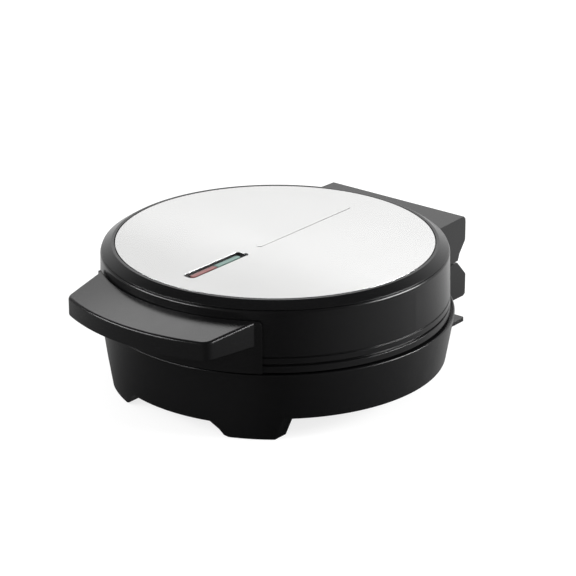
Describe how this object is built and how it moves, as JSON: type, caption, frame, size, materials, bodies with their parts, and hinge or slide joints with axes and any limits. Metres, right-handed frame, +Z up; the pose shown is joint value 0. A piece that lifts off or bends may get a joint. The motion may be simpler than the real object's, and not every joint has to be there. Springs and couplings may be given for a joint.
{
  "type": "wafer maker",
  "caption": "Round countertop wafer maker: a hinged lid with a steel disc, lamp window and arched handle over a footed base, hot plates inside.",
  "frame": {"origin": "in the plane of the table that the feet stand on, under the middle of the whole outline; the drum's axis stands 2.5 mm behind it", "axes": "+Z up, parallel to the drum's axis, -Y towards the handle, +Y towards the hinge"},
  "size_m": [0.2236, 0.2736, 0.0909],
  "materials": {
    "black_plastic": "satin black moulding",
    "polished_steel": "fine satin stainless sheet",
    "nonstick_coating": "cast aluminium with a dark speckled non-stick coating",
    "red_lens": "tinted clear plastic",
    "green_lens": "tinted clear plastic",
    "lamp_glass": "clear glass",
    "board": "laminate board",
    "zinc_steel": "zinc plated",
    "element_sheath": "dull heat-darkened steel",
    "aluminised_sheet": "bright pressed sheet",
    "white_nylon": "moulded",
    "rubber": "moulded matt rubber",
    "glass_sleeve": "woven glass-fibre sleeving"
  },
  "bodies": {
    "base": {"base_shell": "black_plastic", "lower_hot_plate": "nonstick_coating", "lower_element": "element_sheath", "lower_reflector": "aluminised_sheet", "lower_plate_screws": "zinc_steel", "lower_spacers": "aluminised_sheet", "thermostat": "white_nylon", "terminal_block": "white_nylon", "terminal_screws": "zinc_steel", "bottom_cover": "black_plastic", "cover_screws": "zinc_steel", "rubber_feet": "rubber", "hinge_pins": "zinc_steel", "wire_tube": "glass_sleeve", "inlet_bush": "rubber"},
    "lid": {"lid_shell": "black_plastic", "steel_disc": "polished_steel", "lid_bezel": "black_plastic", "window_frame": "black_plastic", "red_lens": "red_lens", "green_lens": "green_lens", "lamp_board": "board", "red_lamp": "lamp_glass", "green_lamp": "lamp_glass", "lamp_board_screws": "zinc_steel", "handle": "black_plastic", "handle_cover": "black_plastic", "handle_screws": "zinc_steel", "upper_hot_plate": "nonstick_coating", "upper_element": "element_sheath", "upper_reflector": "aluminised_sheet", "upper_plate_screws": "zinc_steel", "upper_spacers": "aluminised_sheet", "thermal_fuse": "white_nylon"}
  },
  "joints": [
    {"name": "lid_hinge", "type": "hinge", "parent": "base", "child": "lid", "pos_m": [0, 0.1248, 0.0516], "axis": [-1, 0, 0], "range_deg": [0, 100]}
  ]
}
